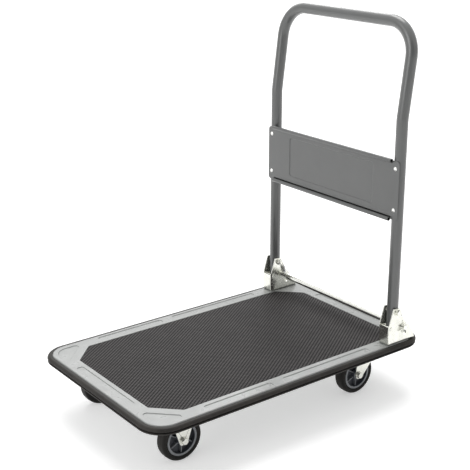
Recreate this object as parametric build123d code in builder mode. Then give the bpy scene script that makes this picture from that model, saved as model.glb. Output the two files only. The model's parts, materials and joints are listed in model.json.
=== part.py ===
"""Folding platform cart: a pressed steel platform on four casters, with a handle that folds down over it.

Frame: +X towards the handle, +Z up, the floor at Z = 0 and the origin under the middle of the platform.
Left is -Y and right is +Y, as seen by the person who pushes from behind the handle.  Millimetres.
"""
from build123d import *
import math
import os

os.makedirs("parts", exist_ok=True)

# ---------------------------------------------------------------- driving dimensions
sheet = 1.5                    # deck and cross member steel
plate = 2.5                    # bracket and caster steel
bolt_radius = 4.0              # all bolts are M8
bolt_hole = 4.2
m8_head = 13.0                 # across flats
m8_head_height = 5.3
m8_nut_height = 6.5
bolt_washer = 8.0
washer_thickness = 1.5
through = 1.0                  # how far a cutting tool starts outside the metal it cuts
sides = {"left": -1, "right": 1}

# platform
deck_half_length = 363.0
deck_half_width = 224.0
deck_corner = 46.0
deck_top = 127.5
deck_rim_bottom = 113.5
deck_edge_round = 3.0
mat_half_length = 323.4
mat_half_width = 187.1
mat_corner_cut = 51.8
mat_thickness = 2.6
mat_recess = 3.0
mat_gap = 0.8
pressing_depth = 1.5
pressing_round = 0.7

# rubber bumper round the platform's rim
bumper_band = 11.5
bumper_groove = 8.8
bumper_lip = 11.0
bumper_top = 127.2
bumper_bottom = 111.5
bumper_groove_low = 116.2
bumper_groove_high = 118.0
bumper_under = 6.0
bumper_top_round = 6.0
bumper_middle_round = 1.2
bumper_bottom_round = 2.0

# cross members and casters
wheel_radius = 48.0
tyre_width = 27.0
tyre_seat = 36.0
wheel_half_track = 155.0
front_axle_x = -263.7
kingpin_x = 252.0
swivel_trail = 27.7
rear_axle_x = kingpin_x - swivel_trail
member_depth = 13.5
caster_plate_length = 94.0
caster_plate_width = 70.0
caster_bolt_x = 37.0
caster_bolt_y = 26.0
fork_half_gap = 15.5
sleeve_radius = 6.0
axle_radius = 4.0
axle_hole = 4.1
running_gap = 0.06

# handle and its brackets
leg_half_track = 208.0
leg_x = 287.0
tube_radius = 13.0
tube_wall = 1.5
pivot_z = 203.0
leg_bottom = 167.7
lean_start = 641.0
lean_degrees = 7.41
handle_top = 840.4             # centre line of the top bar
handle_corner = 70.0
handle_bend = 60.0
bracket_half_width = 16.0
bracket_front = 262.0
bracket_web_top = 171.0

# lock rod behind the legs
rod_x = 305.6
rod_z = 164.0
rod_radius = 5.0
rod_half_length = 233.0
slot_half_width = 5.3
slot_end_x = 312.5
slot_end_z = 149.0
foot_tube_radius = 8.0
foot_tube_half_length = 176.0
stop_pin_x = 269.2
stop_pin_z = 167.0
stop_pin_radius = 4.5
stop_pin_shank = 3.5           # where it passes the bracket's cheeks

# panel between the legs
panel_half_width = 220.0
panel_middle = 487.0
panel_half_height = 70.0
panel_sheet = 1.2
bead_radius = 4.5
bead_half_length = 199.0
rivet_zs = (442.2, 535.2)
rivet_shank = 2.1
rivet_length = 4.2
rivet_head = 4.8
rivet_rise = 2.4
panel_tab_round = 8.0
tab_half_height = 66.0
emboss_half_width = 141.0
emboss_half_height = 47.0
emboss_middle = 490.0
emboss_depth = 1.5
emboss_round = 4.0

# ---------------------------------------------------------------- derived heights and positions
recess_floor = deck_top - mat_recess
member_top = recess_floor - sheet
member_bottom = member_top - member_depth
fork_plate_top = member_bottom
fork_plate_bottom = fork_plate_top - plate
leg_front = leg_x - tube_radius
panel_back = leg_front


# ---------------------------------------------------------------- helpers used inside a BuildPart
def along_y(x, y, z, way=1):
    """Plane at a point whose normal runs along +Y or -Y."""
    return Plane(origin=(x, y, z), x_dir=(1, 0, 0), z_dir=(0, way, 0))


def level(x, y, z, way=1):
    """Plane at a point whose normal runs along +Z or -Z."""
    return Plane(origin=(x, y, z), x_dir=(1, 0, 0), z_dir=(0, 0, way))


def disc(plane, radius, length, mode=Mode.ADD):
    """Cylinder that rises from a plane."""
    with BuildSketch(plane) as face:
        Circle(radius)
    extrude(face.sketch, amount=length, mode=mode)


def ring(plane, outer, inner, length):
    """Tube that rises from a plane."""
    with BuildSketch(plane) as face:
        Circle(outer)
        Circle(inner, mode=Mode.SUBTRACT)
    extrude(face.sketch, amount=length)


def hexagon(plane, across_flats, length, bore=0.0):
    """Hexagonal head or nut that rises from a plane, with an optional bore."""
    with BuildSketch(plane) as face:
        RegularPolygon(radius=across_flats / 2, side_count=6, major_radius=False)
        if bore:
            Circle(bore, mode=Mode.SUBTRACT)
    extrude(face.sketch, amount=length)


def block(low, high, mode=Mode.ADD):
    """Box between two corners."""
    with BuildSketch(Plane.XY.offset(low[2])) as face:
        with Locations(((low[0] + high[0]) / 2, (low[1] + high[1]) / 2)):
            Rectangle(high[0] - low[0], high[1] - low[1])
    extrude(face.sketch, amount=high[2] - low[2], mode=mode)


def outline(plane, points, length, both=False, mode=Mode.ADD):
    """Prism of a closed outline."""
    with BuildSketch(plane) as face:
        with BuildLine():
            Polyline(*points, close=True)
        make_face()
    extrude(face.sketch, amount=length, both=both, mode=mode)


# ---------------------------------------------------------------- platform
def octagon_points(half_x, half_y, cut):
    """Corners of a rectangle with cut corners, anticlockwise."""
    quarter = [(half_x, half_y - cut), (half_x - cut, half_y)]
    points = list(quarter)
    points += [(-x, y) for x, y in reversed(quarter)]
    points += [(-x, -y) for x, y in quarter]
    points += [(x, -y) for x, y in reversed(quarter)]
    return points


def grown(grow):
    """Corner cut of the octagon when its sides move out by a distance."""
    return mat_corner_cut + grow * (2 - math.sqrt(2))


# Each side strip is (middle x, middle y, length x, length y); the long sides have two, the ends one.
strip_width = 15.0
side_strip_y = 207.0
end_strip_x = 342.5
strips = [(end * end_strip_x, 0.0, strip_width, 212.0) for end in (-1, 1)]
strips += [(-147.8, side * side_strip_y, 172.0, strip_width) for side in (-1, 1)]
strips += [(93.0, side * side_strip_y, 244.0, strip_width) for side in (-1, 1)]
strip_corner = 5.0

# Front corner pockets: a triangle with one corner near the deck's own rounded corner.
pocket_far_x = 349.0
pocket_far_y = 210.0
pocket_near_x = 281.0
pocket_near_y = 142.0
pocket_outer_round = 30.0
pocket_inner_round = 7.0


def pocket_face(height, side, grow=0.0):
    """Face of one front corner pocket at a height, grown outwards by a distance."""
    tip = (-pocket_far_x, side * pocket_far_y)
    long_end = (-pocket_near_x, side * pocket_far_y)
    wide_end = (-pocket_far_x, side * pocket_near_y)
    with BuildSketch(Plane.XY.offset(height)) as pocket:
        with BuildLine():
            Polyline(tip, long_end, wide_end, close=True)
        make_face()
        by_distance = pocket.vertices().sort_by_distance((*tip, 0))
        fillet(by_distance[0], pocket_outer_round)
        for corner in (long_end, wide_end):
            fillet(pocket.vertices().sort_by_distance((*corner, 0))[0], pocket_inner_round)
        if grow:
            offset(amount=grow)
    return pocket.sketch


with BuildPart() as deck_plate:
    with BuildSketch(Plane.XY.offset(deck_rim_bottom)):
        RectangleRounded(2 * deck_half_length, 2 * deck_half_width, deck_corner)
    extrude(amount=deck_top - deck_rim_bottom)
    fillet(faces().sort_by(Axis.Z)[-1].edges(), deck_edge_round)
    with BuildSketch(Plane.XY.offset(deck_rim_bottom)):
        RectangleRounded(
            2 * (deck_half_length - sheet), 2 * (deck_half_width - sheet), deck_corner - sheet
        )
    extrude(amount=deck_top - sheet - deck_rim_bottom, mode=Mode.SUBTRACT)
    # material under the pressings
    backing = mat_gap + sheet
    outline(
        Plane.XY.offset(member_top),
        octagon_points(mat_half_length + backing, mat_half_width + backing, grown(backing)),
        mat_recess,
    )
    with BuildSketch(Plane.XY.offset(deck_top - sheet - pressing_depth)):
        for x, y, long_x, long_y in strips:
            with Locations((x, y)):
                RectangleRounded(long_x + 2 * sheet, long_y + 2 * sheet, strip_corner + sheet)
    extrude(amount=pressing_depth)
    for side in sides.values():
        extrude(pocket_face(deck_top - sheet - pressing_depth, side, sheet), amount=pressing_depth)
    # the pressings themselves
    outline(
        Plane.XY.offset(deck_top),
        octagon_points(mat_half_length + mat_gap, mat_half_width + mat_gap, grown(mat_gap)),
        -mat_recess,
        mode=Mode.SUBTRACT,
    )
    with BuildSketch(Plane.XY.offset(deck_top)):
        for x, y, long_x, long_y in strips:
            with Locations((x, y)):
                RectangleRounded(long_x, long_y, strip_corner)
    extrude(amount=-pressing_depth, mode=Mode.SUBTRACT)
    for side in sides.values():
        extrude(pocket_face(deck_top, side), amount=-pressing_depth, mode=Mode.SUBTRACT)
    floors = faces().filter_by(Plane.XY).filter_by(
        lambda face: abs(face.center().Z - (deck_top - pressing_depth)) < 0.01
    )
    fillet(floors.edges(), pressing_round)
    # holes for the bracket bolts
    bracket_bolt_xs = (278.0, 330.0)
    for side in sides.values():
        for x in bracket_bolt_xs:
            start = level(x, side * leg_half_track, deck_top + through, -1)
            disc(start, bolt_hole, sheet + 2 * through, Mode.SUBTRACT)
deck_plate.part.label = "deck_plate"
export_step(deck_plate.part, "parts/deck_plate.step")

with BuildPart() as anti_slip_mat:
    outline(
        Plane.XY.offset(recess_floor),
        octagon_points(mat_half_length, mat_half_width, mat_corner_cut),
        mat_thickness,
    )
anti_slip_mat.part.label = "anti_slip_mat"
export_step(anti_slip_mat.part, "parts/anti_slip_mat.step")

with BuildPart() as bumper:
    with BuildSketch(Plane.XY.offset(bumper_groove_high)):
        RectangleRounded(
            2 * (deck_half_length + bumper_band),
            2 * (deck_half_width + bumper_band),
            deck_corner + bumper_band,
        )
    extrude(amount=bumper_top - bumper_groove_high)
    fillet(faces().sort_by(Axis.Z)[-1].edges(), bumper_top_round)
    fillet(faces().sort_by(Axis.Z)[0].edges(), bumper_middle_round)
    with BuildSketch(Plane.XY.offset(bumper_groove_low)):
        RectangleRounded(
            2 * (deck_half_length + bumper_groove),
            2 * (deck_half_width + bumper_groove),
            deck_corner + bumper_groove,
        )
    extrude(amount=bumper_groove_high - bumper_groove_low)
    with BuildSketch(Plane.XY.offset(bumper_bottom)):
        RectangleRounded(
            2 * (deck_half_length + bumper_lip),
            2 * (deck_half_width + bumper_lip),
            deck_corner + bumper_lip,
        )
    extrude(amount=bumper_groove_low - bumper_bottom)
    fillet(faces().sort_by(Axis.Z)[0].edges(), bumper_bottom_round)
    with BuildSketch(Plane.XY.offset(deck_rim_bottom)):
        RectangleRounded(2 * deck_half_length, 2 * deck_half_width, deck_corner)
    extrude(amount=bumper_top, mode=Mode.SUBTRACT)
    with BuildSketch(Plane.XY.offset(bumper_bottom - through)):
        RectangleRounded(
            2 * (deck_half_length - bumper_under),
            2 * (deck_half_width - bumper_under),
            deck_corner - bumper_under,
        )
    extrude(amount=bumper_top, mode=Mode.SUBTRACT)
bumper.part.label = "bumper"
export_step(bumper.part, "parts/bumper.step")

# ---------------------------------------------------------------- cross members under the deck
member_half_length = 186.0
member_flange = 16.0
caster_member_half_web = 49.0
middle_member_half_web = 24.0
middle_member_x = -6.0
members = {
    "front": (front_axle_x, caster_member_half_web),
    "middle": (middle_member_x, middle_member_half_web),
    "rear": (kingpin_x, caster_member_half_web),
}
kingpin_hole = 11.0
for name, (middle_x, half_web) in members.items():
    with BuildPart() as cross_member:
        wide = half_web + member_flange
        outline(
            Plane.XZ,
            [
                (middle_x - wide, member_top),
                (middle_x - wide, member_top - sheet),
                (middle_x - half_web, member_top - sheet),
                (middle_x - half_web, member_bottom),
                (middle_x + half_web, member_bottom),
                (middle_x + half_web, member_top - sheet),
                (middle_x + wide, member_top - sheet),
                (middle_x + wide, member_top),
                (middle_x + half_web - sheet, member_top),
                (middle_x + half_web - sheet, member_bottom + sheet),
                (middle_x - half_web + sheet, member_bottom + sheet),
                (middle_x - half_web + sheet, member_top),
            ],
            member_half_length,
            both=True,
        )
        if name != "middle":
            for side in sides.values():
                with BuildSketch(Plane.XY.offset(member_bottom - through)) as holes:
                    with Locations((middle_x, side * wheel_half_track)):
                        with GridLocations(2 * caster_bolt_x, 2 * caster_bolt_y, 2, 2):
                            Circle(bolt_hole)
                        if name == "rear":
                            Circle(kingpin_hole)
                extrude(holes.sketch, amount=sheet + 2 * through, mode=Mode.SUBTRACT)
    cross_member.part.label = f"cross_member_{name}"
    export_step(cross_member.part, f"parts/cross_member_{name}.step")

# ---------------------------------------------------------------- handle brackets
bracket_profile = [
    (bracket_front, deck_top),
    (bracket_front, bracket_web_top),
    (275.0, 213.5),
    (294.0, 212.5),
    (302.0, 197.0),
    (311.0, 177.0),
    (328.0, 162.0),
    (345.0, 133.0),
    (345.0, deck_top),
]
bracket_outer_bend = 4.0
bracket_inner_bend = 1.5
bracket_rear = 345.0
bracket_height = 100.0         # taller than the bracket, for the cut that hollows it
bracket_foot_top = deck_top + plate
spring_anchor = (298.5, 194.0)
spring_hole = 2.0

for name, side in sides.items():
    middle = side * leg_half_track
    with BuildPart() as bracket:
        outline(Plane.XZ.offset(-middle), bracket_profile, bracket_half_width, both=True)
        front_edges = edges().filter_by(Axis.Z).filter_by(lambda edge: edge.center().X < bracket_front + 0.1)
        fillet(front_edges, bracket_outer_bend)
        foot_edges = edges().filter_by(Axis.X).filter_by(lambda edge: edge.center().Z < deck_top + 0.1)
        fillet(foot_edges, bracket_outer_bend)
        inner = bracket_half_width - plate
        channel_start = (bracket_front + plate, middle, bracket_foot_top)
        with BuildSketch(Plane(origin=channel_start, x_dir=(0, 1, 0), z_dir=(1, 0, 0))) as channel:
            with Locations((0, bracket_height / 2)):
                Rectangle(2 * inner, bracket_height)
            fillet(channel.vertices().group_by(Axis.Y)[0], bracket_inner_bend)
        extrude(channel.sketch, amount=bracket_height, mode=Mode.SUBTRACT)
        over_web = (bracket_rear, middle + inner, bracket_web_top + bracket_height)
        block((bracket_front - through, middle - inner, bracket_web_top), over_web, Mode.SUBTRACT)
        outer_face = middle + bracket_half_width + through
        across = 2 * (bracket_half_width + through)
        disc(along_y(leg_x, outer_face, pivot_z, -1), axle_hole, across, Mode.SUBTRACT)
        disc(along_y(stop_pin_x, outer_face, stop_pin_z, -1), stop_pin_shank, across, Mode.SUBTRACT)
        disc(along_y(spring_anchor[0], outer_face, spring_anchor[1], -1), spring_hole, across, Mode.SUBTRACT)
        slot_centre = ((rod_x + slot_end_x) / 2, (rod_z + slot_end_z) / 2)
        slot_length = math.dist((rod_x, rod_z), (slot_end_x, slot_end_z))
        slot_angle = math.degrees(math.atan2(slot_end_z - rod_z, slot_end_x - rod_x))
        with BuildSketch(Plane.XZ.offset(-middle)) as slot:
            with Locations(slot_centre):
                SlotCenterToCenter(slot_length, 2 * slot_half_width, rotation=slot_angle)
        extrude(slot.sketch, amount=bracket_half_width + through, both=True, mode=Mode.SUBTRACT)
        for x in bracket_bolt_xs:
            start = level(x, middle, bracket_foot_top + through, -1)
            disc(start, bolt_hole, plate + 2 * through, Mode.SUBTRACT)
    bracket.part.label = f"bracket_{name}"
    export_step(bracket.part, f"parts/bracket_{name}.step")

bracket_bolt_length = 14.0
with BuildPart() as bracket_bolts:
    for side in sides.values():
        for x in bracket_bolt_xs:
            hexagon(level(x, side * leg_half_track, bracket_foot_top), m8_head, m8_head_height)
            disc(level(x, side * leg_half_track, bracket_foot_top, -1), bolt_radius, bracket_bolt_length)
bracket_bolts.part.label = "bracket_bolts"
export_step(bracket_bolts.part, "parts/bracket_bolts.step")

under_deck = deck_top - sheet
with BuildPart() as bracket_nuts:
    for side in sides.values():
        for x in bracket_bolt_xs:
            ring(level(x, side * leg_half_track, under_deck, -1), bolt_washer, bolt_radius, washer_thickness)
            nut_top = level(x, side * leg_half_track, under_deck - washer_thickness, -1)
            hexagon(nut_top, m8_head, m8_nut_height, bolt_radius)
bracket_nuts.part.label = "bracket_nuts"
export_step(bracket_nuts.part, "parts/bracket_nuts.step")

stop_pin_head = 1.2
with BuildPart() as stop_pins:
    for side in sides.values():
        middle = side * leg_half_track
        inner = bracket_half_width - plate
        disc(along_y(stop_pin_x, middle - inner, stop_pin_z), stop_pin_radius, 2 * inner)
        for way in (-1, 1):
            disc(along_y(stop_pin_x, middle + way * inner, stop_pin_z, way), stop_pin_shank, plate)
            head = along_y(stop_pin_x, middle + way * bracket_half_width, stop_pin_z, way)
            disc(head, stop_pin_radius, stop_pin_head)
stop_pins.part.label = "stop_pins"
export_step(stop_pins.part, "parts/stop_pins.step")

pivot_flange = 9.0
pivot_bolt_length = 43.0
with BuildPart() as pivot_bolts:
    for side in sides.values():
        face = side * (leg_half_track + bracket_half_width)
        ring(along_y(leg_x, face, pivot_z, side), pivot_flange, axle_radius, washer_thickness)
        under_head = along_y(leg_x, face + side * washer_thickness, pivot_z, side)
        hexagon(under_head, m8_head, m8_head_height)
        disc(along_y(leg_x, face + side * washer_thickness, pivot_z, -side), axle_radius, pivot_bolt_length)
pivot_bolts.part.label = "pivot_bolts"
export_step(pivot_bolts.part, "parts/pivot_bolts.step")

with BuildPart() as pivot_nuts:
    for side in sides.values():
        face = side * (leg_half_track - bracket_half_width)
        ring(along_y(leg_x, face, pivot_z, -side), bolt_washer, axle_radius, washer_thickness)
        nut_face = along_y(leg_x, face - side * washer_thickness, pivot_z, -side)
        hexagon(nut_face, m8_head, m8_nut_height, axle_radius)
pivot_nuts.part.label = "pivot_nuts"
export_step(pivot_nuts.part, "parts/pivot_nuts.step")

# ---------------------------------------------------------------- handle
lean_x = leg_x + (handle_top - lean_start) * math.tan(math.radians(lean_degrees))
with BuildPart() as handle_tube:
    with BuildLine() as handle_path:
        FilletPolyline(
            (leg_x, -leg_half_track, leg_bottom),
            (leg_x, -leg_half_track, lean_start),
            (lean_x, -leg_half_track, handle_top),
            (lean_x, leg_half_track, handle_top),
            (leg_x, leg_half_track, lean_start),
            (leg_x, leg_half_track, leg_bottom),
            radius=[handle_bend, handle_corner, handle_corner, handle_bend],
        )
    with BuildSketch(level(leg_x, -leg_half_track, leg_bottom)):
        Circle(tube_radius)
        Circle(tube_radius - tube_wall, mode=Mode.SUBTRACT)
    sweep(path=handle_path.line)
    for side in sides.values():
        middle = side * leg_half_track
        start = along_y(leg_x, middle - tube_radius - through, pivot_z)
        disc(start, sleeve_radius, 2 * (tube_radius + through), Mode.SUBTRACT)
        for z in rivet_zs:
            start = Plane(origin=(leg_front - through, middle, z), z_dir=(1, 0, 0))
            disc(start, rivet_shank, tube_wall + 2 * through, Mode.SUBTRACT)
handle_tube.part.label = "handle_tube"
export_step(handle_tube.part, "parts/handle_tube.step")

with BuildPart() as pivot_sleeves:
    for side in sides.values():
        start = along_y(leg_x, side * leg_half_track - tube_radius, pivot_z)
        ring(start, sleeve_radius, axle_radius + running_gap, 2 * tube_radius)
pivot_sleeves.part.label = "pivot_sleeves"
export_step(pivot_sleeves.part, "parts/pivot_sleeves.step")

with BuildPart() as handle_panel:
    with BuildSketch(Plane.YZ.offset(panel_back)):
        with Locations((0, panel_middle)):
            RectangleRounded(2 * panel_half_width, 2 * tab_half_height, panel_tab_round)
    extrude(amount=-panel_sheet)
    for way in (-1, 1):
        bead_z = panel_middle + way * (panel_half_height - bead_radius)
        bead_x = panel_back - bead_radius
        bead_end = along_y(bead_x, -bead_half_length, bead_z)
        ring(bead_end, bead_radius, bead_radius - panel_sheet, 2 * bead_half_length)
    with BuildSketch(Plane.YZ.offset(panel_back)):
        with Locations((0, emboss_middle)):
            RectangleRounded(
                2 * (emboss_half_width + panel_sheet),
                2 * (emboss_half_height + panel_sheet),
                emboss_round + panel_sheet,
            )
    extrude(amount=emboss_depth)
    with BuildSketch(Plane.YZ.offset(panel_back - panel_sheet)):
        with Locations((0, emboss_middle)):
            RectangleRounded(2 * emboss_half_width, 2 * emboss_half_height, emboss_round)
    extrude(amount=emboss_depth, mode=Mode.SUBTRACT)
    for side in sides.values():
        for z in rivet_zs:
            start = (panel_back - panel_sheet - through, side * leg_half_track, z)
            disc(Plane(origin=start, z_dir=(1, 0, 0)), rivet_shank, panel_sheet + 2 * through, Mode.SUBTRACT)
handle_panel.part.label = "handle_panel"
export_step(handle_panel.part, "parts/handle_panel.step")

dome_radius = (rivet_head**2 + rivet_rise**2) / (2 * rivet_rise)
with BuildPart() as panel_rivets:
    for side in sides.values():
        for z in rivet_zs:
            front = (panel_back - panel_sheet, side * leg_half_track, z)
            with BuildSketch(Plane(origin=front, x_dir=(-1, 0, 0), z_dir=(0, 1, 0))) as half:
                with BuildLine():
                    Line((0, 0), (rivet_rise, 0))
                    RadiusArc((rivet_rise, 0), (0, rivet_head), -dome_radius)
                    Line((0, rivet_head), (0, rivet_shank))
                    Line((0, rivet_shank), (-rivet_length, rivet_shank))
                    Line((-rivet_length, rivet_shank), (-rivet_length, 0))
                    Line((-rivet_length, 0), (0, 0))
                make_face()
            revolve(half.sketch, axis=Axis(front, (1, 0, 0)))
panel_rivets.part.label = "panel_rivets"
export_step(panel_rivets.part, "parts/panel_rivets.step")

# ---------------------------------------------------------------- lock rod
outer_cheek = leg_half_track + bracket_half_width
washer_gap = 0.3
rod_washer = 8.8
rod_chamfer = 0.8
split_pin_y = outer_cheek + 5.0
split_pin_wire = 1.1
split_pin_way = Vector(0.66, 0, 0.75).normalized()
with BuildPart() as lock_rod:
    disc(along_y(rod_x, -rod_half_length, rod_z), rod_radius, 2 * rod_half_length)
    chamfer(edges().filter_by(GeomType.CIRCLE), rod_chamfer)
    for side in sides.values():
        centre = Vector(rod_x, side * split_pin_y, rod_z)
        reach = rod_radius + through
        start = Plane(origin=centre - split_pin_way * reach, z_dir=split_pin_way)
        disc(start, split_pin_wire, 2 * reach, Mode.SUBTRACT)
lock_rod.part.label = "lock_rod"
export_step(lock_rod.part, "parts/lock_rod.step")

with BuildPart() as foot_tube:
    tube_end = along_y(rod_x, -foot_tube_half_length, rod_z)
    ring(tube_end, foot_tube_radius, rod_radius, 2 * foot_tube_half_length)
foot_tube.part.label = "foot_tube"
export_step(foot_tube.part, "parts/foot_tube.step")

with BuildPart() as rod_washers:
    for side in sides.values():
        start = along_y(rod_x, side * (outer_cheek + washer_gap), rod_z, side)
        ring(start, rod_washer, rod_radius, washer_thickness)
rod_washers.part.label = "rod_washers"
export_step(rod_washers.part, "parts/rod_washers.step")

pin_shank = rod_radius + 2.2
pin_leg = 9.0
pin_leg_wire = 1.0
pin_spread = 34.0
eye_radius = 2.6
with BuildPart() as rod_split_pins:
    for side in sides.values():
        centre = Vector(rod_x, side * split_pin_y, rod_z)
        tail = centre + split_pin_way * pin_shank
        head = centre - split_pin_way * pin_shank
        disc(Plane(origin=head, z_dir=split_pin_way), split_pin_wire, 2 * pin_shank)
        for turn in (-pin_spread, pin_spread):
            leg_way = split_pin_way.rotate(Axis.Y, turn)
            leg_start = tail - leg_way * split_pin_wire
            disc(Plane(origin=leg_start, z_dir=leg_way), pin_leg_wire, pin_leg)
        eye_centre = head - split_pin_way * eye_radius
        across_pin = split_pin_way.cross(Vector(0, 1, 0))
        with BuildSketch(Plane(origin=eye_centre, x_dir=split_pin_way, z_dir=across_pin)) as wire:
            with Locations((eye_radius, 0)):
                Circle(split_pin_wire)
        revolve(wire.sketch, axis=Axis(eye_centre, (0, 1, 0)))
rod_split_pins.part.label = "rod_split_pins"
export_step(rod_split_pins.part, "parts/rod_split_pins.step")

# ---------------------------------------------------------------- return springs
spring_y = 187.5
spring_radius = 3.2
spring_wire = 0.8
spring_loop = 7.2
loop_gap = 0.3
spring_hook = 3.0
anchor_wire = 1.2
anchor_reach = 6.7
for name, side in sides.items():
    loop_centre = Vector(rod_x, side * spring_y, rod_z)
    anchor = Vector(spring_anchor[0], side * spring_y, spring_anchor[1])
    pull = (anchor - loop_centre).normalized()
    hook_foot = anchor - pull * spring_hook
    body_foot = loop_centre + pull * (spring_loop - spring_wire)
    with BuildPart() as lock_spring:
        loop_start = along_y(rod_x, side * spring_y - spring_wire, rod_z)
        ring(loop_start, spring_loop, rod_radius + loop_gap, 2 * spring_wire)
        disc(Plane(origin=body_foot, z_dir=pull), spring_radius, (hook_foot - body_foot).length)
        disc(Plane(origin=hook_foot, z_dir=pull), spring_wire, spring_hook)
        disc(along_y(anchor.X, side * (spring_y - anchor_wire), anchor.Z, side), anchor_wire, anchor_reach)
    lock_spring.part.label = f"lock_spring_{name}"
    export_step(lock_spring.part, f"parts/lock_spring_{name}.step")

# ---------------------------------------------------------------- casters
fork_width = fork_half_gap + plate
caster_corner = 7.0


def caster_plate(x, y):
    """Mounting plate of a caster with its four bolt holes."""
    with BuildSketch(Plane.XY.offset(fork_plate_bottom)) as face:
        with Locations((x, y)):
            RectangleRounded(caster_plate_length, caster_plate_width, caster_corner)
            with GridLocations(2 * caster_bolt_x, 2 * caster_bolt_y, 2, 2):
                Circle(bolt_hole, mode=Mode.SUBTRACT)
    extrude(face.sketch, amount=plate)


def cheeks(middle, points, rounds):
    """Pair of fork cheeks: points are (x, z), and each round is (corner number, radius)."""
    for near in (middle - fork_width, middle + fork_half_gap):
        with BuildSketch(along_y(0, near + plate, 0, -1)) as face:
            with BuildLine():
                Polyline(*points, close=True)
            make_face()
            for number, radius in rounds:
                corner = (*points[number], 0)
                fillet(face.vertices().sort_by_distance(corner)[0], radius)
        extrude(face.sketch, amount=plate)


cheek_top_half = 32.0
cheek_foot_half = 8.5
cheek_foot_z = 38.0
cheek_round = 6.0
fixed_cheek = [
    (front_axle_x - cheek_top_half, fork_plate_bottom),
    (front_axle_x + cheek_top_half, fork_plate_bottom),
    (front_axle_x + cheek_foot_half, cheek_foot_z),
    (front_axle_x - cheek_foot_half, cheek_foot_z),
]
axle_bore_length = 2 * (fork_width + through)
for name, side in sides.items():
    middle = side * wheel_half_track
    with BuildPart() as fixed_fork:
        caster_plate(front_axle_x, middle)
        cheeks(middle, fixed_cheek, [(2, cheek_round), (3, cheek_round)])
        start = along_y(front_axle_x, middle - fork_width - through, wheel_radius)
        disc(start, axle_hole, axle_bore_length, Mode.SUBTRACT)
    fixed_fork.part.label = f"fixed_fork_{name}"
    export_step(fixed_fork.part, f"parts/fixed_fork_{name}.step")

caster_bolt_length = 13.0
caster_bolt_spots = [
    (x + way_x * caster_bolt_x, side * wheel_half_track + way_y * caster_bolt_y)
    for x in (front_axle_x, kingpin_x)
    for side in sides.values()
    for way_x in (-1, 1)
    for way_y in (-1, 1)
]
with BuildPart() as caster_bolts:
    for spot in caster_bolt_spots:
        hexagon(level(*spot, fork_plate_bottom, -1), m8_head, m8_head_height)
        disc(level(*spot, fork_plate_bottom), bolt_radius, caster_bolt_length)
caster_bolts.part.label = "caster_bolts"
export_step(caster_bolts.part, "parts/caster_bolts.step")

with BuildPart() as caster_nuts:
    for spot in caster_bolt_spots:
        hexagon(level(*spot, member_bottom + sheet), m8_head, m8_nut_height, bolt_radius)
caster_nuts.part.label = "caster_nuts"
export_step(caster_nuts.part, "parts/caster_nuts.step")

# swivel casters
kingpin_radius = 5.0
ball_radius = 2.4
ball_pitch = 20.0
ball_count = 16
ball_z = 103.0
groove_radius = 2.7
race_outer = 26.0
race_inner = 12.0
race_bottom = 104.0
fork_top = 102.0
fork_head_radius = 29.0
skirt_inner = 27.0
skirt_top = 106.0
kingpin_head = 9.0
kingpin_head_height = 3.5
kingpin_gap = 0.2
kingpin_tail = 8.0
kingpin_tail_height = 2.5
kingpin_chamfer = 1.0


def ball_groove(x, y):
    """Ring-shaped groove for the bearing balls, cut from the active part."""
    with BuildSketch(Plane(origin=(x, y, ball_z), x_dir=(1, 0, 0), z_dir=(0, -1, 0))) as section:
        with Locations((ball_pitch, 0)):
            Circle(groove_radius)
    revolve(section.sketch, axis=Axis((x, y, ball_z), (0, 0, 1)), mode=Mode.SUBTRACT)


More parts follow.
